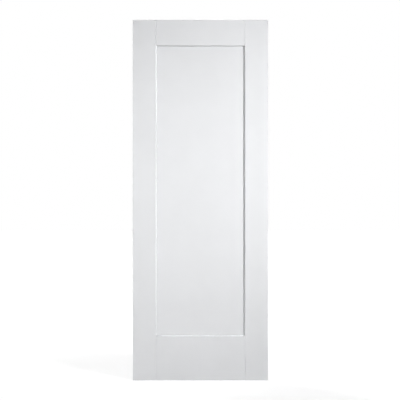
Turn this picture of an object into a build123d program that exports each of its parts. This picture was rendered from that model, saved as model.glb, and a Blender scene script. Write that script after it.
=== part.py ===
"""A primed white one-panel fire door leaf, put together as the real one is.

Two stiles run the full height, and two rails are tongued between them. Each of the four is an engineered
core with a facing board on both sides, and each stile has a lipping glued to its outer edge. A flat panel is
tongued into the frame, and slim mitred beads line the step between frame and panel on both faces. Fine
V-grooves mark the joints between stiles and rails.

The origin is at the bottom of the hinge edge, at mid-thickness. +X runs across the leaf to the lock edge,
+Y from the front face to the back face, and +Z up. Lengths are in millimetres.
"""

import os
from math import copysign

from build123d import *

# The leaf
LEAF_WIDTH = 762.0
LEAF_HEIGHT = 2032.0
LEAF_THICKNESS = 44.0

# Stiles and rails, as they show on the faces
STILE_WIDTH = 130.0
TOP_RAIL_HEIGHT = 145.0
BOTTOM_RAIL_HEIGHT = 250.0

# Layers of the stiles and rails
FACING_THICKNESS = 4.0
LIPPING_THICKNESS = 8.0
LONG_ARRIS_RADIUS = 1.5
JOINT_CHAMFER = 1.6

# Panel, and the tongues that hold it and the rails
PANEL_THICKNESS = 20.0
PANEL_SHOULDER_GAP = 0.4
TONGUE_THICKNESS = 12.0
TONGUE_LENGTH = 12.0
TONGUE_SIDE_CLEARANCE = 0.1
TONGUE_END_CLEARANCE = 0.5

# Beads round the panel
BEAD_TOP_WIDTH = 1.6
BEAD_FOOT_WIDTH = 3.2
BEAD_SET_DOWN = 1.6
BEAD_ARRIS_RADIUS = 0.8

# Places that follow from those sizes
LEAF_HALF = LEAF_THICKNESS / 2
CORE_HALF = LEAF_HALF - FACING_THICKNESS
PANEL_HALF = PANEL_THICKNESS / 2
GROOVE_HALF = TONGUE_THICKNESS / 2 + TONGUE_SIDE_CLEARANCE
GROOVE_DEPTH = TONGUE_LENGTH + TONGUE_END_CLEARANCE
OPENING_LEFT = STILE_WIDTH
OPENING_RIGHT = LEAF_WIDTH - STILE_WIDTH
OPENING_BOTTOM = BOTTOM_RAIL_HEIGHT
OPENING_TOP = LEAF_HEIGHT - TOP_RAIL_HEIGHT
OPENING_WIDTH = OPENING_RIGHT - OPENING_LEFT
LEAF_MIDDLE = Plane.YZ.offset(LEAF_WIDTH / 2)


def rectangle(x_from, x_to, y_from, y_to):
    """A rectangle between two corners of a sketch."""
    middle = Pos((x_from + x_to) / 2, (y_from + y_to) / 2)
    return middle * Rectangle(abs(x_to - x_from), abs(y_to - y_from))


def stile_core():
    """The hinge stile's core: a bar with one groove for the tongues of the rails and the panel."""
    bar = rectangle(LIPPING_THICKNESS, STILE_WIDTH, -CORE_HALF, CORE_HALF)
    groove = rectangle(STILE_WIDTH - GROOVE_DEPTH, STILE_WIDTH, -GROOVE_HALF, GROOVE_HALF)
    return extrude(bar - groove, LEAF_HEIGHT)


def edge_lipping():
    """The strip on the hinge stile's outer edge, between the two facings."""
    return extrude(rectangle(0, LIPPING_THICKNESS, -CORE_HALF, CORE_HALF), LEAF_HEIGHT)


def rail_core(outer_z, opening_z):
    """A rail's core: grooved along the panel, with a tongue at each end that fills the stile's groove."""
    outwards = copysign(1, outer_z - opening_z)
    groove_end_z = opening_z + outwards * GROOVE_DEPTH
    bar = rectangle(-CORE_HALF, CORE_HALF, opening_z, outer_z)
    groove = rectangle(-GROOVE_HALF, GROOVE_HALF, opening_z, groove_end_z)
    tongue = rectangle(-TONGUE_THICKNESS / 2, TONGUE_THICKNESS / 2, groove_end_z, outer_z)
    shoulder_plane = Plane.YZ.offset(OPENING_LEFT)
    tongue_plane = Plane.YZ.offset(OPENING_LEFT - TONGUE_LENGTH)
    between_shoulders = extrude(shoulder_plane * (bar - groove), OPENING_WIDTH)
    through_tongues = extrude(tongue_plane * tongue, OPENING_WIDTH + 2 * TONGUE_LENGTH)
    return between_shoulders + through_tongues


def stile_facing():
    """The front board of the hinge stile: a rounded outer arris, and half of the V-groove on the inner one."""
    board = rectangle(0, STILE_WIDTH, -LEAF_HALF, -CORE_HALF)
    outer_corner = board.vertices().group_by(Axis.Y)[0].sort_by(Axis.X)[0]
    board = fillet(outer_corner, LONG_ARRIS_RADIUS)
    inner_corner = board.vertices().group_by(Axis.Y)[0].sort_by(Axis.X)[-1]
    return extrude(chamfer(inner_corner, JOINT_CHAMFER), LEAF_HEIGHT)


def rail_facing(outer_z, opening_z):
    """The front board of a rail, chamfered where it meets the stiles and the panel's beads."""
    outline = rectangle(OPENING_LEFT, OPENING_RIGHT, opening_z, outer_z)
    board = extrude(Plane.XZ.offset(CORE_HALF) * outline, FACING_THICKNESS)
    front_edges = board.faces().sort_by(Axis.Y)[0].edges().sort_by(Axis.Z)
    leaf_end_edge = front_edges[-1] if outer_z > opening_z else front_edges[0]
    return chamfer([edge for edge in front_edges if edge != leaf_end_edge], JOINT_CHAMFER)


def panel():
    """The flat panel, rebated all round to leave the tongue that sits in the frame's groove."""

    def slab(margin, thickness):
        outline = rectangle(
            OPENING_LEFT - margin, OPENING_RIGHT + margin, OPENING_BOTTOM - margin, OPENING_TOP + margin
        )
        return extrude(Plane.XZ * outline, thickness / 2, both=True)

    return slab(-PANEL_SHOULDER_GAP, PANEL_THICKNESS) + slab(TONGUE_LENGTH, TONGUE_THICKNESS)


def bead_profile():
    """A bead's cross-section: x runs in from the frame's edge, and y from the front face to the panel.

    Its inner side leans back a little, and the arris at its top is rounded.
    """
    top = BEAD_SET_DOWN - LEAF_HALF
    foot = -PANEL_HALF
    corners = [(0, foot), (0, top), (BEAD_TOP_WIDTH, top), (BEAD_FOOT_WIDTH, foot)]
    section = make_face(Polyline(*corners, close=True))
    arris = section.vertices().group_by(Axis.Y)[0].sort_by(Axis.X)[-1]
    return fillet(arris, BEAD_ARRIS_RADIUS)


def bead(start, end):
    """A front bead along one side of the opening, mitred at both ends."""
    along = (end - start).normalized()
    inwards = Vector(0, 1, 0).cross(along)
    stick = extrude(Plane(origin=start, x_dir=inwards, z_dir=along) * bead_profile(), (end - start).length)
    stick = split(stick, bisect_by=Plane(origin=start, z_dir=along - inwards), keep=Keep.TOP)
    return split(stick, bisect_by=Plane(origin=end, z_dir=-along - inwards), keep=Keep.TOP)


def front_beads():
    """The four front beads, going up the hinge side, across the top, down the lock side and back."""
    low_hinge = Vector(OPENING_LEFT, 0, OPENING_BOTTOM)
    high_hinge = Vector(OPENING_LEFT, 0, OPENING_TOP)
    high_lock = Vector(OPENING_RIGHT, 0, OPENING_TOP)
    low_lock = Vector(OPENING_RIGHT, 0, OPENING_BOTTOM)
    return {
        "hinge_bead": bead(low_hinge, high_hinge),
        "top_bead": bead(high_hinge, high_lock),
        "lock_bead": bead(high_lock, low_lock),
        "bottom_bead": bead(low_lock, low_hinge),
    }


def front_boards():
    """The front facings of the four frame members."""
    hinge_board = stile_facing()
    return {
        "hinge_stile_facing": hinge_board,
        "lock_stile_facing": mirror(hinge_board, about=LEAF_MIDDLE),
        "top_rail_facing": rail_facing(LEAF_HEIGHT, OPENING_TOP),
        "bottom_rail_facing": rail_facing(0, OPENING_BOTTOM),
    }


def leaf():
    """Every piece of the leaf by name. The back face repeats the front one."""
    hinge_core = stile_core()
    hinge_lipping = edge_lipping()
    pieces = {
        "hinge_stile_core": hinge_core,
        "lock_stile_core": mirror(hinge_core, about=LEAF_MIDDLE),
        "hinge_edge_lipping": hinge_lipping,
        "lock_edge_lipping": mirror(hinge_lipping, about=LEAF_MIDDLE),
        "top_rail_core": rail_core(LEAF_HEIGHT, OPENING_TOP),
        "bottom_rail_core": rail_core(0, OPENING_BOTTOM),
        "panel": panel(),
    }
    for name, piece in {**front_boards(), **front_beads()}.items():
        pieces["front_" + name] = piece
        pieces["back_" + name] = mirror(piece, about=Plane.XZ)
    return pieces


os.makedirs("parts", exist_ok=True)
for name, piece in leaf().items():
    export_step(piece, f"parts/{name}.step")
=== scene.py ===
"""Finishes a primed white fire door leaf and sets it up on a plain white floor.

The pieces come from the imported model. Each is merged into a clean mesh, and its edges are eased as sanding
and primer leave them. The cores are sawn into the staves that they are glued up from. Faces and long edges
carry sprayed primer, and the leaf's top and bottom are left bare, as such a leaf leaves the factory.

Lengths are in metres. A name that ends in mm or px, small or capital, is in millimetres or in pixels of the
photograph.
"""

import math

import bmesh
import bpy
from mathutils import Matrix, Vector


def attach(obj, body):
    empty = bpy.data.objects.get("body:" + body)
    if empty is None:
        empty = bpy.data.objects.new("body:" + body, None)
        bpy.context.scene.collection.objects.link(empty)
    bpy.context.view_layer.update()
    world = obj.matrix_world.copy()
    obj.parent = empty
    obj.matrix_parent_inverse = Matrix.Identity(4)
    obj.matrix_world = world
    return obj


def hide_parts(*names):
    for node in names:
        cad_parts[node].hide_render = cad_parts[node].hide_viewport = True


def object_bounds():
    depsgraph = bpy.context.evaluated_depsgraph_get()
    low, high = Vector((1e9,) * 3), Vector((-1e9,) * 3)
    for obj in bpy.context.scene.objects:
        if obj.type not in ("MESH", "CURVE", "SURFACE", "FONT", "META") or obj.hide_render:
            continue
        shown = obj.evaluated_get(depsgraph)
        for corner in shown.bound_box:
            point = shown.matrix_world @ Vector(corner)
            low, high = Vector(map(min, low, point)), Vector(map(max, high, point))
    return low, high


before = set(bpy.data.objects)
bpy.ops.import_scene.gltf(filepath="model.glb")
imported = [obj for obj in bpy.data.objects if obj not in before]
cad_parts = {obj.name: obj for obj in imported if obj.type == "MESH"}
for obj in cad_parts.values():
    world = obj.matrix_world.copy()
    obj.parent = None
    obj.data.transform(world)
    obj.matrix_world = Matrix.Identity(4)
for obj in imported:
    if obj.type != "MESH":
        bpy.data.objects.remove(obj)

bl_info = {
    "name": "Primed Fire Door Leaf",
    "version": (1, 0, 0),
    "blender": (4, 5, 0),
    "location": "View3D > Sidebar > Door",
    "description": "Finishes the pieces of a primed fire door leaf and sets up its studio",
    "category": "Object",
}

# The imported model
CAD_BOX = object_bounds()
LEAF_LOW, LEAF_HIGH = CAD_BOX
LEAF_CENTRE = (LEAF_LOW + LEAF_HIGH) / 2
LEAF_SIZE = LEAF_HIGH - LEAF_LOW
FACES = ("front", "back")

# The leaf in the photograph, measured from the top left corner of the picture
PHOTO_SIDE_PX = 400
LEAF_TOP_PX = 19.9
LEAF_BOTTOM_PX = 380.5
LEAF_MIDDLE_PX = 200.4

# Meshes
MERGE_DISTANCE = 1e-6
FLAT_ANGLE = math.radians(0.1)
SHARP_ANGLE = math.radians(35)
LONG_EDGE = 0.1
EASE_SEGMENTS = 2
FLOOR_SEGMENTS = 64
SAWN_MATERIAL_INDEX = 1

# Grain that comes through the primer: its size along X, Y and Z, and its depth
BOARD_GRAIN_MM = (14, 14, 14)
BOARD_GRAIN_DEPTH_MM = 0.01
UPRIGHT_BEAD_GRAIN_MM = (0.9, 0.9, 140)
LEVEL_BEAD_GRAIN_MM = (140, 0.9, 0.9)
BEAD_GRAIN_DEPTH_MM = 0.012
LIPPING_GRAIN_MM = (1.4, 1.4, 90)
LIPPING_GRAIN_DEPTH_MM = 0.02

# Turns about X, Y and Z that bring the grain of upright and level timber onto Z
UPRIGHT_TURN = (0.0, 0.0, 0.0)
LEVEL_TURN = (0.0, -math.pi / 2, 0.0)

# Primer and wood bend light alike
PRIMER_AND_WOOD_IOR = 1.5

# One turn of the wave texture is this long at a scale of 1
WAVE_LENGTH = math.pi / 10

# Sockets of a Mix node that blends two colours
MIX_SHARE = 0
MIX_FIRST = 6
MIX_SECOND = 7
MIX_RESULT = 2


def hex_to_linear(text):
    """A colour written as an sRGB hex value, as the linear colour that shaders take."""
    channels = [int(text[start:start + 2], 16) / 255 for start in (1, 3, 5)]
    linear = [c / 12.92 if c <= 0.04045 else ((c + 0.055) / 1.055) ** 2.4 for c in channels]
    return (*linear, 1.0)


def scale_for(millimetres):
    """The texture scale at which one feature is that long on the object."""
    return 1000 / millimetres


class LeafSizes(bpy.types.PropertyGroup):
    """Sizes of the finish: how edges are eased, and how the bare staves are made up."""

    board_ease: bpy.props.FloatProperty(
        name="Board Edge Radius",
        description="Rounding that sanding and primer leave on facings, panel and lippings",
        default=0.0003,
        unit="LENGTH",
    )
    bead_ease: bpy.props.FloatProperty(
        name="Bead Edge Radius",
        description="Rounding along the moulded edges of the beads",
        default=0.00035,
        unit="LENGTH",
    )
    mitre_ease: bpy.props.FloatProperty(
        name="Mitre Edge Radius",
        description="Rounding at the mitres, which leaves a hairline between two beads",
        default=0.00012,
        unit="LENGTH",
    )
    stave_ease: bpy.props.FloatProperty(
        name="Stave Edge Radius",
        description="Rounding of the bare staves, which shows the glue lines",
        default=0.0002,
        unit="LENGTH",
    )
    stave_width: bpy.props.FloatProperty(
        name="Stave Width",
        description="About how wide each stave of a core is",
        default=0.045,
        unit="LENGTH",
    )
    stave_run: bpy.props.FloatProperty(
        name="Length Between Finger Joints",
        description="How long each length of timber in a stave is",
        default=0.31,
        unit="LENGTH",
    )
    glue_thickness: bpy.props.FloatProperty(
        name="Glue Thickness",
        description="Thickness of the glue between two staves",
        default=0.0001,
        unit="LENGTH",
    )
    finger_length: bpy.props.FloatProperty(
        name="Finger Length",
        description="How far the fingers of a joint reach along the grain",
        default=0.012,
        unit="LENGTH",
    )
    finger_pitch: bpy.props.FloatProperty(
        name="Finger Pitch",
        description="Distance from one finger to the next",
        default=0.006,
        unit="LENGTH",
    )
    ring_spacing: bpy.props.FloatProperty(
        name="Growth Ring Spacing",
        description="Distance from one growth ring of the softwood to the next",
        default=0.0028,
        unit="LENGTH",
    )
    overspray_reach: bpy.props.FloatProperty(
        name="Overspray Reach",
        description="How far primer mist from each face reaches over the bare top and bottom",
        default=0.006,
        unit="LENGTH",
    )


class LeafColours(bpy.types.PropertyGroup):
    """Colours of the primer and of the bare materials under it."""

    primer: bpy.props.FloatVectorProperty(
        name="Primer",
        description="The full coat of primer, a slightly cool white",
        size=4,
        min=0,
        max=1,
        subtype="COLOR",
        default=hex_to_linear("#E4E5E7"),
    )
    thin_primer: bpy.props.FloatVectorProperty(
        name="Thin Primer",
        description="Where the coat is thinner and lets a little of the board through",
        size=4,
        min=0,
        max=1,
        subtype="COLOR",
        default=hex_to_linear("#E2E3E5"),
    )
    earlywood: bpy.props.FloatVectorProperty(
        name="Earlywood",
        description="The pale part of a softwood growth ring",
        size=4,
        min=0,
        max=1,
        subtype="COLOR",
        default=hex_to_linear("#DDBF92"),
    )
    latewood: bpy.props.FloatVectorProperty(
        name="Latewood",
        description="The dark part of a softwood growth ring",
        size=4,
        min=0,
        max=1,
        subtype="COLOR",
        default=hex_to_linear("#BC8D58"),
    )
    glue: bpy.props.FloatVectorProperty(
        name="Glue Line",
        description="Set glue in the finger joints",
        size=4,
        min=0,
        max=1,
        subtype="COLOR",
        default=hex_to_linear("#8F6B42"),
    )
    fibreboard: bpy.props.FloatVectorProperty(
        name="Fibreboard",
        description="The sawn edge of a facing board",
        size=4,
        min=0,
        max=1,
        subtype="COLOR",
        default=hex_to_linear("#B4926A"),
    )
    fibre_fleck: bpy.props.FloatVectorProperty(
        name="Fibre Fleck",
        description="Darker fibre bundles in the fibreboard",
        size=4,
        min=0,
        max=1,
        subtype="COLOR",
        default=hex_to_linear("#96744E"),
    )
    hardwood: bpy.props.FloatVectorProperty(
        name="Hardwood",
        description="The sawn end of a lipping",
        size=4,
        min=0,
        max=1,
        subtype="COLOR",
        default=hex_to_linear("#A4734F"),
    )
    hardwood_pore: bpy.props.FloatVectorProperty(
        name="Hardwood Pore",
        description="Open pores in the hardwood's end grain",
        size=4,
        min=0,
        max=1,
        subtype="COLOR",
        default=hex_to_linear("#75492F"),
    )


class StudioSettings(bpy.types.PropertyGroup):
    """The camera, the lamps and the white surroundings."""

    lens: bpy.props.FloatProperty(
        name="Lens",
        description="Focal length of the camera, which stands square to the front face",
        default=100,
        unit="CAMERA",
    )
    key_way: bpy.props.FloatVectorProperty(
        name="Key Direction",
        description="From the middle of the leaf towards a face's main lamp: right, forward and up",
        default=(0.82, -1.0, 0.38),
        subtype="XYZ",
    )
    key_distance: bpy.props.FloatProperty(
        name="Key Distance",
        description="From the middle of the leaf to the main lamp",
        default=7,
        unit="LENGTH",
    )
    key_aim: bpy.props.FloatVectorProperty(
        name="Key Aim",
        description="The point that the main lamp is turned to, from the middle of the leaf",
        default=(0.18, 0.0, 0.2),
        subtype="TRANSLATION",
    )
    key_power: bpy.props.FloatProperty(
        name="Key Power",
        description="Power of the main lamp",
        default=20.9,
        unit="POWER",
    )
    fill_way: bpy.props.FloatVectorProperty(
        name="Fill Direction",
        description="From the middle of the leaf towards a face's weaker lamp: right, forward and up",
        default=(-1.7, -1.0, 0.42),
        subtype="XYZ",
    )
    fill_distance: bpy.props.FloatProperty(
        name="Fill Distance",
        description="From the middle of the leaf to the weaker lamp",
        default=4,
        unit="LENGTH",
    )
    fill_power: bpy.props.FloatProperty(
        name="Fill Power",
        description="Power of the weaker lamp",
        default=29,
        unit="POWER",
    )
    top_way: bpy.props.FloatVectorProperty(
        name="Top Direction",
        description="From the middle of the leaf towards the lamp overhead: right, forward and up",
        default=(0.0, -0.075, 1.0),
        subtype="XYZ",
    )
    top_distance: bpy.props.FloatProperty(
        name="Top Distance",
        description="From the middle of the leaf to the lamp overhead",
        default=10,
        unit="LENGTH",
    )
    top_power: bpy.props.FloatProperty(
        name="Top Power",
        description="Power of the lamp overhead",
        default=9.5,
        unit="POWER",
    )
    lamp_size: bpy.props.FloatProperty(
        name="Lamp Size",
        description="Side of each lamp's square face",
        default=1.5,
        unit="LENGTH",
    )
    grid_spread: bpy.props.FloatProperty(
        name="Grid Spread",
        description="Full angle that the grids on the main lamps and the lamp overhead let through",
        default=math.radians(34),
        subtype="ANGLE",
    )
    ambient: bpy.props.FloatProperty(
        name="Ambient",
        description="Strength of the even light from all round",
        default=0.12,
    )
    floor_glow: bpy.props.FloatProperty(
        name="Floor Glow",
        description="Share of white that the floor shows beside the leaf, whatever light falls on it",
        default=0.53,
        subtype="FACTOR",
        min=0,
        max=1,
    )
    floor_near: bpy.props.FloatProperty(
        name="Floor Fade Start",
        description="Distance from the leaf at which the floor starts to fade to white",
        default=0.6,
        unit="LENGTH",
    )
    floor_far: bpy.props.FloatProperty(
        name="Floor Fade End",
        description="Distance from the leaf at which the floor is all white",
        default=2.6,
        unit="LENGTH",
    )
    floor_colour: bpy.props.FloatVectorProperty(
        name="Floor",
        description="The floor's own grey, which sets how much light it throws back",
        size=4,
        min=0,
        max=1,
        subtype="COLOR",
        default=hex_to_linear("#CCCCCC"),
    )
    floor_radius: bpy.props.FloatProperty(
        name="Floor Radius",
        description="How far the floor reaches from the leaf",
        default=30,
        unit="LENGTH",
    )


# Materials


def add_node(tree, kind, sockets=None, **settings):
    """Adds a node. Settings go on the node, and sockets holds each input's value or the output to link."""
    node = tree.nodes.new(kind)
    for name, value in settings.items():
        setattr(node, name, value)
    for name, value in (sockets or {}).items():
        if isinstance(value, bpy.types.NodeSocket):
            tree.links.new(value, node.inputs[name])
        else:
            node.inputs[name].default_value = value
    return node


def empty_tree(owner):
    """The node tree of a new material or world, cleared of its first nodes."""
    owner.use_nodes = True
    owner.node_tree.nodes.clear()
    return owner.node_tree


def start_material(name):
    """A new material with its shader linked to its output, and the coordinates that its patterns read."""
    material = bpy.data.materials.new(name)
    tree = empty_tree(material)
    shader = add_node(tree, "ShaderNodeBsdfPrincipled", {"IOR": PRIMER_AND_WOOD_IOR})
    add_node(tree, "ShaderNodeOutputMaterial", {"Surface": shader.outputs["BSDF"]})
    place = add_node(tree, "ShaderNodeTexCoord").outputs["Object"]
    return material, tree, shader, place


def sprayed_primer(name, colours, grain_mm, grain_depth_mm):
    """White factory primer, sprayed on and rubbed down.

    It gives the eye an even, slightly cool white with a low sheen. The coat drifts a little in tone over a
    hand's breadth and has a fine orange peel, and what lies under it comes through as a faint grain.
    """
    material, tree, shader, place = start_material(name)
    drift = add_node(
        tree,
        "ShaderNodeTexNoise",
        {"Vector": place, "Scale": scale_for(160), "Detail": 3.0, "Roughness": 0.55},
    ).outputs["Fac"]
    thinness = add_node(
        tree, "ShaderNodeMapRange", {"Value": drift, "From Min": 0.35, "From Max": 0.7}
    ).outputs["Result"]
    coat = add_node(
        tree,
        "ShaderNodeMix",
        {MIX_SHARE: thinness, MIX_FIRST: colours.primer, MIX_SECOND: colours.thin_primer},
        data_type="RGBA",
    ).outputs[MIX_RESULT]
    tree.links.new(coat, shader.inputs["Base Color"])
    # The sheen follows the coat: a thin place sinks in and dries flatter.
    sheen = add_node(
        tree, "ShaderNodeMapRange", {"Value": thinness, "To Min": 0.70, "To Max": 0.79}
    ).outputs["Result"]
    tree.links.new(sheen, shader.inputs["Roughness"])
    # Orange peel is about 1.5 mm across. It is drawn at 4 mm, so that it shows from a pace away.
    peel_depth_mm = 0.02
    peel = add_node(
        tree,
        "ShaderNodeTexNoise",
        {"Vector": place, "Scale": scale_for(4), "Detail": 2.0, "Roughness": 0.5},
    ).outputs["Fac"]
    stretched = add_node(
        tree, "ShaderNodeMapping", {"Vector": place, "Scale": [scale_for(size) for size in grain_mm]}
    ).outputs["Vector"]
    grain = add_node(
        tree, "ShaderNodeTexNoise", {"Vector": stretched, "Scale": 1.0, "Detail": 3.0, "Roughness": 0.6}
    ).outputs["Fac"]
    relief = add_node(
        tree,
        "ShaderNodeMath",
        {0: grain, 1: grain_depth_mm / peel_depth_mm, 2: peel},
        operation="MULTIPLY_ADD",
    ).outputs["Value"]
    bump = add_node(tree, "ShaderNodeBump", {"Height": relief, "Distance": peel_depth_mm / 1000})
    tree.links.new(bump.outputs["Normal"], shader.inputs["Normal"])
    return material


def with_overspray(tree, place, bare, sizes, colours):
    """The colour bare, with primer mist over it that thins out from both faces inwards."""
    depth = add_node(tree, "ShaderNodeSeparateXYZ", {"Vector": place}).outputs["Y"]
    from_middle = add_node(tree, "ShaderNodeMath", {0: depth}, operation="ABSOLUTE").outputs["Value"]
    mist = add_node(
        tree,
        "ShaderNodeTexNoise",
        {"Vector": place, "Scale": scale_for(9), "Detail": 4.0, "Roughness": 0.7},
    ).outputs["Fac"]
    face = LEAF_HIGH.y
    nearness = add_node(
        tree,
        "ShaderNodeMapRange",
        {"Value": from_middle, "From Min": face - sizes.overspray_reach, "From Max": face},
    ).outputs["Result"]
    # The mist takes most of the cover away or adds a little, so its edge is ragged.
    ragged = add_node(
        tree, "ShaderNodeMapRange", {"Value": mist, "To Min": -0.75, "To Max": 0.15}
    ).outputs["Result"]
    cover = add_node(
        tree, "ShaderNodeMath", {0: nearness, 1: ragged}, operation="ADD", use_clamp=True
    ).outputs["Value"]
    return add_node(
        tree,
        "ShaderNodeMix",
        {MIX_SHARE: cover, MIX_FIRST: bare, MIX_SECOND: colours.primer},
        data_type="RGBA",
    ).outputs[MIX_RESULT]


def bare_fibreboard(sizes, colours):
    """Medium density fibreboard, sawn across: a warm brown felt of short fibres, quite matt."""
    material, tree, shader, place = start_material("sawn_fibreboard_edge")
    shader.inputs["Roughness"].default_value = 0.85
    # The fibre bundles are about 0.5 mm thick. They are drawn at 1.2 mm, so that they show.
    fibre_depth_mm = 0.15
    fibres = add_node(
        tree,
        "ShaderNodeTexNoise",
        {"Vector": place, "Scale": scale_for(1.2), "Detail": 4.0, "Roughness": 0.7},
    ).outputs["Fac"]
    fleck = add_node(
        tree, "ShaderNodeMapRange", {"Value": fibres, "From Min": 0.45, "From Max": 0.7}
    ).outputs["Result"]
    bare = add_node(
        tree,
        "ShaderNodeMix",
        {MIX_SHARE: fleck, MIX_FIRST: colours.fibreboard, MIX_SECOND: colours.fibre_fleck},
        data_type="RGBA",
    ).outputs[MIX_RESULT]
    tree.links.new(with_overspray(tree, place, bare, sizes, colours), shader.inputs["Base Color"])
    bump = add_node(tree, "ShaderNodeBump", {"Height": fibres, "Distance": fibre_depth_mm / 1000})
    tree.links.new(bump.outputs["Normal"], shader.inputs["Normal"])
    return material


def bare_hardwood_end(sizes, colours):
    """A reddish hardwood sawn across the grain: dense and darker than its sides, peppered with open pores."""
    material, tree, shader, place = start_material("sawn_hardwood_end_grain")
    shader.inputs["Roughness"].default_value = 0.75
    # Pores are about 0.2 mm wide. They are drawn 0.9 mm apart, so that they show.
    pore_depth_mm = 0.1
    pores = add_node(
        tree,
        "ShaderNodeTexVoronoi",
        {"Vector": place, "Scale": scale_for(0.9), "Randomness": 1.0},
    ).outputs["Distance"]
    open_pore = add_node(
        tree,
        "ShaderNodeMapRange",
        {"Value": pores, "From Min": 0.18, "From Max": 0.42, "To Min": 1.0, "To Max": 0.0},
    ).outputs["Result"]
    bare = add_node(
        tree,
        "ShaderNodeMix",
        {MIX_SHARE: open_pore, MIX_FIRST: colours.hardwood, MIX_SECOND: colours.hardwood_pore},
        data_type="RGBA",
    ).outputs[MIX_RESULT]
    tree.links.new(with_overspray(tree, place, bare, sizes, colours), shader.inputs["Base Color"])
    bump = add_node(
        tree, "ShaderNodeBump", {"Height": open_pore, "Distance": pore_depth_mm / 1000}, invert=True
    )
    tree.links.new(bump.outputs["Normal"], shader.inputs["Normal"])
    return material


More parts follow.
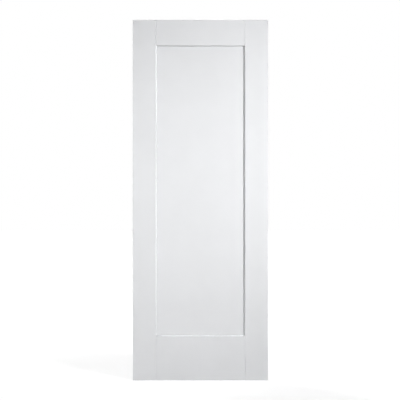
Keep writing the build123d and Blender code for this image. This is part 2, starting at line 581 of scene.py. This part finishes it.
def bare_redwood(name, sizes, colours, turn):
    """European redwood in planed staves, finger-jointed end to end and left bare.

    It gives the eye pale yellow wood with brown growth rings: arcs on the sawn ends, long flames on the
    sides. Each length between two finger joints is another piece of timber, with its own rings and tone.
    Turn is the rotation that brings the grain onto Z.
    """
    material, tree, shader, place = start_material(name)
    stave = add_node(tree, "ShaderNodeAttribute", attribute_name="stave").outputs["Fac"]
    middle = add_node(tree, "ShaderNodeAttribute", attribute_name="stave_middle").outputs["Vector"]
    in_stave = add_node(
        tree, "ShaderNodeVectorMath", {0: place, 1: middle}, operation="SUBTRACT"
    ).outputs["Vector"]
    turned = add_node(tree, "ShaderNodeMapping", {"Vector": in_stave, "Rotation": turn}).outputs["Vector"]
    parts = add_node(tree, "ShaderNodeSeparateXYZ", {"Vector": turned})

    # A finger joint is a zigzag across the stave, so the place along the grain is pushed to and fro.
    half_pitch = sizes.finger_pitch / 2
    zigzag = add_node(
        tree, "ShaderNodeMath", {0: parts.outputs["Y"], 1: half_pitch}, operation="PINGPONG"
    ).outputs["Value"]
    along = add_node(
        tree,
        "ShaderNodeMath",
        {0: zigzag, 1: sizes.finger_length / half_pitch, 2: parts.outputs["Z"]},
        operation="MULTIPLY_ADD",
    ).outputs["Value"]
    # Joints in neighbouring staves are out of line.
    stagger = 0.37 * sizes.stave_run
    shifted = add_node(
        tree, "ShaderNodeMath", {0: stave, 1: stagger, 2: along}, operation="MULTIPLY_ADD"
    ).outputs["Value"]
    run = add_node(
        tree, "ShaderNodeMath", {0: shifted, 1: sizes.stave_run}, operation="DIVIDE"
    ).outputs["Value"]
    length_number = add_node(tree, "ShaderNodeMath", {0: run}, operation="FLOOR").outputs["Value"]
    identity = add_node(tree, "ShaderNodeCombineXYZ", {"X": length_number, "Y": stave}).outputs["Vector"]
    chance = add_node(tree, "ShaderNodeTexWhiteNoise", {"Vector": identity}, noise_dimensions="2D")

    # The pith lies within a log's radius of the stave, to any side. Lengths along the grain are shortened, so
    # that the rings wander slowly there.
    log_radius = 0.11
    grain_share = 0.06
    from_corner = add_node(
        tree,
        "ShaderNodeVectorMath",
        {0: turned, 1: (1.0, 1.0, grain_share), 2: (-log_radius, -log_radius, 0.0)},
        operation="MULTIPLY_ADD",
    ).outputs["Vector"]
    from_pith = add_node(
        tree,
        "ShaderNodeVectorMath",
        {0: chance.outputs["Color"], 1: (2 * log_radius, 2 * log_radius, 1.0), 2: from_corner},
        operation="MULTIPLY_ADD",
    ).outputs["Vector"]
    # Good and poor years come in spells of about four, and make the rings wider and narrower. The swing is in
    # radians, of which one ring has a full turn.
    spell_mm = 11
    swing = 9.0
    across_log = add_node(
        tree, "ShaderNodeVectorMath", {0: from_pith, 1: (1.0, 1.0, 0.0)}, operation="MULTIPLY"
    ).outputs["Vector"]
    pith_distance = add_node(
        tree, "ShaderNodeVectorMath", {0: across_log}, operation="LENGTH"
    ).outputs["Value"]
    weather = add_node(
        tree,
        "ShaderNodeTexNoise",
        {"W": pith_distance, "Scale": scale_for(spell_mm), "Detail": 1.0},
        noise_dimensions="1D",
    ).outputs["Fac"]
    growth = add_node(tree, "ShaderNodeMath", {0: weather, 1: swing}, operation="MULTIPLY").outputs["Value"]
    rings = add_node(
        tree,
        "ShaderNodeTexWave",
        {
            "Vector": from_pith,
            "Phase Offset": growth,
            "Scale": WAVE_LENGTH / sizes.ring_spacing,
            "Distortion": 2.2,
            "Detail": 2.0,
            "Detail Scale": 0.25,
            "Detail Roughness": 0.5,
        },
        wave_type="RINGS",
        rings_direction="Z",
        wave_profile="SAW",
    ).outputs["Fac"]
    # A ring darkens slowly at first, and faster towards its outer edge.
    late = add_node(
        tree, "ShaderNodeMath", {0: rings, 1: 2.0}, operation="POWER", use_clamp=True
    ).outputs["Value"]
    wood = add_node(
        tree,
        "ShaderNodeMix",
        {MIX_SHARE: late, MIX_FIRST: colours.earlywood, MIX_SECOND: colours.latewood},
        data_type="RGBA",
    ).outputs[MIX_RESULT]
    tone = add_node(
        tree,
        "ShaderNodeMapRange",
        {"Value": chance.outputs["Value"], "To Min": 0.86, "To Max": 1.06},
    ).outputs["Result"]
    toned = add_node(
        tree, "ShaderNodeVectorMath", {0: wood, "Scale": tone}, operation="SCALE"
    ).outputs["Vector"]

    # The glue in a finger joint is about 0.1 mm thick. It is drawn four times as wide, so that it shows.
    glue_width = 4 * sizes.glue_thickness
    past_joint = add_node(
        tree, "ShaderNodeMath", {0: run, 1: 1.0}, operation="FLOORED_MODULO"
    ).outputs["Value"]
    in_glue = add_node(
        tree,
        "ShaderNodeMath",
        {0: past_joint, 1: glue_width / sizes.stave_run},
        operation="LESS_THAN",
    ).outputs["Value"]
    glued = add_node(
        tree,
        "ShaderNodeMix",
        {MIX_SHARE: in_glue, MIX_FIRST: toned, MIX_SECOND: colours.glue},
        data_type="RGBA",
    ).outputs[MIX_RESULT]
    tree.links.new(with_overspray(tree, place, glued, sizes, colours), shader.inputs["Base Color"])

    # Planed fibres run along the grain, and the hard latewood stands a little proud and shines more.
    sheen = add_node(
        tree, "ShaderNodeMapRange", {"Value": late, "To Min": 0.86, "To Max": 0.76}
    ).outputs["Result"]
    tree.links.new(sheen, shader.inputs["Roughness"])
    # Fibres are about 0.04 mm thick and 3 mm long. They are drawn much larger, so that they show.
    fibre_mm = (0.6, 0.6, 30)
    relief_depth_mm = 0.05
    drawn_out = add_node(
        tree, "ShaderNodeMapping", {"Vector": turned, "Scale": [scale_for(size) for size in fibre_mm]}
    ).outputs["Vector"]
    fibres = add_node(
        tree, "ShaderNodeTexNoise", {"Vector": drawn_out, "Scale": 1.0, "Detail": 2.0}
    ).outputs["Fac"]
    relief = add_node(tree, "ShaderNodeMath", {0: fibres, 1: late}, operation="ADD").outputs["Value"]
    bump = add_node(tree, "ShaderNodeBump", {"Height": relief, "Distance": relief_depth_mm / 1000})
    tree.links.new(bump.outputs["Normal"], shader.inputs["Normal"])
    return material


# Pieces


def merged_copy(node):
    """A bmesh of a node's solid, with its loose triangles merged and flat faces made whole."""
    mesh = bmesh.new()
    mesh.from_mesh(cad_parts[node].data)
    bmesh.ops.remove_doubles(mesh, verts=mesh.verts, dist=MERGE_DISTANCE)
    bmesh.ops.dissolve_limit(mesh, angle_limit=FLAT_ANGLE, verts=mesh.verts, edges=mesh.edges)
    return mesh


def ease(mesh, radius, shortest=0.0, longest=math.inf):
    """Rounds the sharp edges of a mesh whose length is within those limits."""
    sharp = [
        edge
        for edge in mesh.edges
        if edge.calc_face_angle() > SHARP_ANGLE and shortest <= edge.calc_length() < longest
    ]
    bmesh.ops.bevel(
        mesh, geom=sharp, offset=radius, affect="EDGES", segments=EASE_SEGMENTS, profile=0.5, material=-1
    )


def bare_ends(mesh):
    """Gives the faces at the leaf's top and bottom the sawn material."""
    for face in mesh.faces:
        height = face.calc_center_median().z
        at_end = min(abs(height - LEAF_LOW.z), abs(height - LEAF_HIGH.z)) < MERGE_DISTANCE
        if at_end:
            face.material_index = SAWN_MATERIAL_INDEX


def add_piece(mesh, name, node, *materials):
    """Turns a bmesh into a piece that rides on the leaf and stands for a node."""
    data = bpy.data.meshes.new(name)
    for face in mesh.faces:
        face.smooth = True
    mesh.to_mesh(data)
    mesh.free()
    for material in materials:
        data.materials.append(material)
    piece = bpy.data.objects.new(name, data)
    bpy.context.scene.collection.objects.link(piece)
    # Flat faces keep flat shading up to their eased edges.
    normals = piece.modifiers.new("even_faces", "WEIGHTED_NORMAL")
    normals.keep_sharp = False
    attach(piece, "root")
    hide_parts(node)


def add_sawn_board(name, node, radius, primer, sawn):
    """Adds a primed board with eased edges, bare where it was sawn at the leaf's top and bottom."""
    mesh = merged_copy(node)
    bare_ends(mesh)
    ease(mesh, radius)
    add_piece(mesh, name, node, primer, sawn)


def cut_away(mesh, place, outwards):
    """Takes off what lies beyond a plane through place, the way that outwards points, and closes the cut."""
    whole = mesh.verts[:] + mesh.edges[:] + mesh.faces[:]
    bmesh.ops.bisect_plane(
        mesh, geom=whole, dist=MERGE_DISTANCE, plane_co=place, plane_no=outwards, clear_outer=True
    )
    rim = [edge for edge in mesh.edges if edge.is_boundary]
    bmesh.ops.holes_fill(mesh, edges=rim, sides=0)


def sawn_into_staves(node, axis, sizes, first_number):
    """A core cut across axis into staves, with the thickness of the glue left open between them.

    The attributes stave and stave_middle hold each stave's own number and the middle of its width.
    """
    solid = merged_copy(node)
    reach = [vertex.co.dot(axis) for vertex in solid.verts]
    low, high = min(reach), max(reach)
    count = round((high - low) / sizes.stave_width)
    half_glue = axis * sizes.glue_thickness / 2
    staves = bmesh.new()
    for index in range(count):
        stave = solid.copy()
        start = low + (high - low) * index / count
        end = low + (high - low) * (index + 1) / count
        if index > 0:
            cut_away(stave, axis * start + half_glue, -axis)
        if index < count - 1:
            cut_away(stave, axis * end - half_glue, axis)
        bmesh.ops.recalc_face_normals(stave, faces=stave.faces)
        ease(stave, sizes.stave_ease)
        number = stave.faces.layers.float.new("stave")
        middle = stave.faces.layers.float_vector.new("stave_middle")
        for face in stave.faces:
            face[number] = first_number + index
            face[middle] = axis * (start + end) / 2
        part = bpy.data.meshes.new("stave")
        stave.to_mesh(part)
        stave.free()
        staves.from_mesh(part)
        bpy.data.meshes.remove(part)
    solid.free()
    return staves, first_number + count


class DOOR_OT_make_facings(bpy.types.Operator):
    """Makes the eight facing boards of the stiles and rails, primed, with sawn edges at the leaf's ends"""

    bl_idname = "door.make_facings"
    bl_label = "Make Facings"

    def execute(self, context):
        colours = context.scene.leaf_colours
        sizes = context.scene.leaf_sizes
        primer = sprayed_primer(
            "sprayed_primer_on_facings", colours, BOARD_GRAIN_MM, BOARD_GRAIN_DEPTH_MM
        )
        sawn = bare_fibreboard(sizes, colours)
        for side in FACES:
            for member in ("hinge_stile", "lock_stile", "top_rail", "bottom_rail"):
                board = f"{side}_{member}_board"
                add_sawn_board(board, f"{side}_{member}_facing", sizes.board_ease, primer, sawn)
        return {"FINISHED"}


class DOOR_OT_make_beads(bpy.types.Operator):
    """Makes the mitred beads round the panel on both faces"""

    bl_idname = "door.make_beads"
    bl_label = "Make Beads"

    def execute(self, context):
        colours = context.scene.leaf_colours
        sizes = context.scene.leaf_sizes
        # The moulding cutter leaves fine lines along each bead.
        upright = sprayed_primer(
            "sprayed_primer_on_upright_beads", colours, UPRIGHT_BEAD_GRAIN_MM, BEAD_GRAIN_DEPTH_MM
        )
        level = sprayed_primer(
            "sprayed_primer_on_level_beads", colours, LEVEL_BEAD_GRAIN_MM, BEAD_GRAIN_DEPTH_MM
        )
        primers = {"hinge": upright, "lock": upright, "top": level, "bottom": level}
        for side in FACES:
            for edge, primer in primers.items():
                node = f"{side}_{edge}_bead"
                mesh = merged_copy(node)
                ease(mesh, sizes.bead_ease, shortest=LONG_EDGE)
                ease(mesh, sizes.mitre_ease, longest=LONG_EDGE)
                add_piece(mesh, f"{side}_{edge}_moulding", node, primer)
        return {"FINISHED"}


class DOOR_OT_make_panel(bpy.types.Operator):
    """Makes the flat panel between the beads"""

    bl_idname = "door.make_panel"
    bl_label = "Make Panel"

    def execute(self, context):
        colours = context.scene.leaf_colours
        primer = sprayed_primer(
            "sprayed_primer_on_panel", colours, BOARD_GRAIN_MM, BOARD_GRAIN_DEPTH_MM
        )
        mesh = merged_copy("panel")
        ease(mesh, context.scene.leaf_sizes.board_ease)
        add_piece(mesh, "panel_board", "panel", primer)
        return {"FINISHED"}


class DOOR_OT_make_lippings(bpy.types.Operator):
    """Makes the lippings on the leaf's long edges, primed, with bare end grain"""

    bl_idname = "door.make_lippings"
    bl_label = "Make Lippings"

    def execute(self, context):
        colours = context.scene.leaf_colours
        sizes = context.scene.leaf_sizes
        # Hardwood moves under its coat, so its grain shows through as fine upright lines.
        primer = sprayed_primer(
            "sprayed_primer_on_hardwood", colours, LIPPING_GRAIN_MM, LIPPING_GRAIN_DEPTH_MM
        )
        sawn = bare_hardwood_end(sizes, colours)
        for edge in ("hinge", "lock"):
            strip = f"{edge}_edge_strip"
            add_sawn_board(strip, f"{edge}_edge_lipping", sizes.board_ease, primer, sawn)
        return {"FINISHED"}


class DOOR_OT_make_cores(bpy.types.Operator):
    """Makes the cores of the stiles and rails from staves"""

    bl_idname = "door.make_cores"
    bl_label = "Make Cores"

    def execute(self, context):
        colours = context.scene.leaf_colours
        sizes = context.scene.leaf_sizes
        upright = bare_redwood("planed_redwood_upright", sizes, colours, UPRIGHT_TURN)
        level = bare_redwood("planed_redwood_level", sizes, colours, LEVEL_TURN)
        across = Vector((1.0, 0.0, 0.0))
        up = Vector((0.0, 0.0, 1.0))
        members = {
            "hinge_stile": (across, upright),
            "lock_stile": (across, upright),
            "top_rail": (up, level),
            "bottom_rail": (up, level),
        }
        number = 0
        for member, (axis, timber) in members.items():
            node = f"{member}_core"
            mesh, number = sawn_into_staves(node, axis, sizes, number)
            add_piece(mesh, f"{member}_staves", node, timber)
        return {"FINISHED"}


# Studio


def seen_directly(tree):
    """A socket that is 1 for what the camera sees, straight or mirrored, and 0 for the light on things."""
    path = add_node(tree, "ShaderNodeLightPath").outputs
    mirrored = add_node(
        tree,
        "ShaderNodeMath",
        {0: path["Is Glossy Ray"], 1: path["Is Transmission Ray"]},
        operation="MAXIMUM",
    ).outputs["Value"]
    return add_node(
        tree, "ShaderNodeMath", {0: path["Is Camera Ray"], 1: mirrored}, operation="MAXIMUM"
    ).outputs["Value"]


def white_surroundings(ambient):
    """A world that looks white and lights the leaf evenly at the strength ambient."""
    world = bpy.data.worlds.new("studio_white")
    tree = empty_tree(world)
    strength = add_node(
        tree, "ShaderNodeMapRange", {"Value": seen_directly(tree), "To Min": ambient, "To Max": 1.0}
    ).outputs["Result"]
    white = add_node(
        tree, "ShaderNodeBackground", {"Color": hex_to_linear("#FFFFFF"), "Strength": strength}
    ).outputs["Background"]
    add_node(tree, "ShaderNodeOutputWorld", {"Surface": white})
    return world


def white_floor(studio):
    """A matt pale floor that looks white, and darkens only near the leaf, which keeps light off it."""
    material = bpy.data.materials.new("matt_white_floor")
    tree = empty_tree(material)
    matt = add_node(tree, "ShaderNodeBsdfDiffuse", {"Color": studio.floor_colour}).outputs["BSDF"]
    foot = Vector((LEAF_CENTRE.x, LEAF_CENTRE.y, LEAF_LOW.z))
    place = add_node(tree, "ShaderNodeTexCoord").outputs["Object"]
    from_leaf = add_node(
        tree, "ShaderNodeVectorMath", {0: place, 1: foot}, operation="DISTANCE"
    ).outputs["Value"]
    whiteness = add_node(
        tree,
        "ShaderNodeMapRange",
        {
            "Value": from_leaf,
            "From Min": studio.floor_near,
            "From Max": studio.floor_far,
            "To Min": studio.floor_glow,
            "To Max": 1.0,
        },
        interpolation_type="SMOOTHSTEP",
    ).outputs["Result"]
    strength = add_node(
        tree, "ShaderNodeMath", {0: seen_directly(tree), 1: whiteness}, operation="MULTIPLY"
    ).outputs["Value"]
    glow = add_node(
        tree, "ShaderNodeEmission", {"Color": hex_to_linear("#FFFFFF"), "Strength": strength}
    ).outputs["Emission"]
    both = add_node(tree, "ShaderNodeAddShader", {0: matt, 1: glow}).outputs["Shader"]
    add_node(tree, "ShaderNodeOutputMaterial", {"Surface": both})
    mesh = bmesh.new()
    bmesh.ops.create_circle(mesh, cap_ends=True, segments=FLOOR_SEGMENTS, radius=studio.floor_radius)
    bmesh.ops.translate(mesh, verts=mesh.verts, vec=foot)
    data = bpy.data.meshes.new("floor")
    mesh.to_mesh(data)
    mesh.free()
    data.materials.append(material)
    floor = bpy.data.objects.new("floor", data)
    bpy.context.scene.collection.objects.link(floor)


def soft_lamp(name, offset, aim, size, spread, power):
    """A square lamp. Its place and the point that it is turned to are given from the middle of the leaf."""
    data = bpy.data.lights.new(name, "AREA")
    data.shape = "SQUARE"
    data.size = size
    data.spread = spread
    data.energy = power
    lamp = bpy.data.objects.new(name, data)
    lamp.location = LEAF_CENTRE + offset
    lamp.rotation_euler = (aim - offset).to_track_quat("-Z", "Y").to_euler()
    lamp.visible_camera = False
    bpy.context.scene.collection.objects.link(lamp)


def light_leaf(studio):
    """Lights both faces alike, each from its right and a little from its left, and the leaf from above."""
    key_offset = Vector(studio.key_way).normalized() * studio.key_distance
    fill_offset = Vector(studio.fill_way).normalized() * studio.fill_distance
    top_offset = Vector(studio.top_way).normalized() * studio.top_distance
    key_aim = Vector(studio.key_aim)
    middle = Vector()
    size = studio.lamp_size
    grid = studio.grid_spread
    for face, angle in zip(FACES, (0.0, math.pi)):
        turn = Matrix.Rotation(angle, 3, "Z")
        soft_lamp(f"{face}_key", turn @ key_offset, turn @ key_aim, size, grid, studio.key_power)
        soft_lamp(f"{face}_fill", turn @ fill_offset, middle, size, math.pi, studio.fill_power)
    soft_lamp("top", top_offset, middle, size, grid, studio.top_power)


def add_camera(lens):
    """A camera square to the front face, as far away as the leaf's height in the photograph asks."""
    data = bpy.data.cameras.new("camera")
    data.lens = lens
    metres_per_pixel = LEAF_SIZE.z / (LEAF_BOTTOM_PX - LEAF_TOP_PX)
    distance = PHOTO_SIDE_PX * metres_per_pixel * lens / data.sensor_width
    camera = bpy.data.objects.new("camera", data)
    half_photo = PHOTO_SIDE_PX / 2
    to_right = (LEAF_MIDDLE_PX - half_photo) * metres_per_pixel
    down = ((LEAF_TOP_PX + LEAF_BOTTOM_PX) / 2 - half_photo) * metres_per_pixel
    camera.location = (LEAF_CENTRE.x - to_right, LEAF_LOW.y - distance, LEAF_CENTRE.z + down)
    camera.rotation_euler = (math.pi / 2, 0.0, 0.0)
    bpy.context.scene.collection.objects.link(camera)
    bpy.context.scene.camera = camera


class DOOR_OT_set_stage(bpy.types.Operator):
    """Makes the floor, the white surroundings, the lamps and the camera"""

    bl_idname = "door.set_stage"
    bl_label = "Set Stage"

    def execute(self, context):
        studio = context.scene.door_studio
        context.scene.view_settings.view_transform = "Standard"
        context.scene.world = white_surroundings(studio.ambient)
        white_floor(studio)
        light_leaf(studio)
        add_camera(studio.lens)
        return {"FINISHED"}


# Panel and registration

OPERATORS = (
    DOOR_OT_make_facings,
    DOOR_OT_make_beads,
    DOOR_OT_make_panel,
    DOOR_OT_make_lippings,
    DOOR_OT_make_cores,
    DOOR_OT_set_stage,
)


class DOOR_PT_leaf(bpy.types.Panel):
    """Lists the steps that make the leaf, with the sizes and colours that they use"""

    bl_idname = "DOOR_PT_leaf"
    bl_label = "Fire Door Leaf"
    bl_space_type = "VIEW_3D"
    bl_region_type = "UI"
    bl_category = "Door"

    def draw(self, context):
        scene = context.scene
        for operator in OPERATORS:
            self.layout.operator(operator.bl_idname)
        for settings in (scene.leaf_sizes, scene.leaf_colours, scene.door_studio):
            box = self.layout.box()
            for name in type(settings).__annotations__:
                box.prop(settings, name)


CLASSES = (LeafSizes, LeafColours, StudioSettings, *OPERATORS, DOOR_PT_leaf)


def register():
    """Makes the classes known to Blender and gives the scene its settings."""
    for cls in CLASSES:
        bpy.utils.register_class(cls)
    bpy.types.Scene.leaf_sizes = bpy.props.PointerProperty(type=LeafSizes)
    bpy.types.Scene.leaf_colours = bpy.props.PointerProperty(type=LeafColours)
    bpy.types.Scene.door_studio = bpy.props.PointerProperty(type=StudioSettings)


def unregister():
    """Takes back what register did."""
    del bpy.types.Scene.door_studio
    del bpy.types.Scene.leaf_colours
    del bpy.types.Scene.leaf_sizes
    for cls in reversed(CLASSES):
        bpy.utils.unregister_class(cls)


def main():
    """Makes the leaf and its studio."""
    register()
    bpy.ops.door.make_facings()
    bpy.ops.door.make_beads()
    bpy.ops.door.make_panel()
    bpy.ops.door.make_lippings()
    bpy.ops.door.make_cores()
    bpy.ops.door.set_stage()


if __name__ == "__main__":
    main()
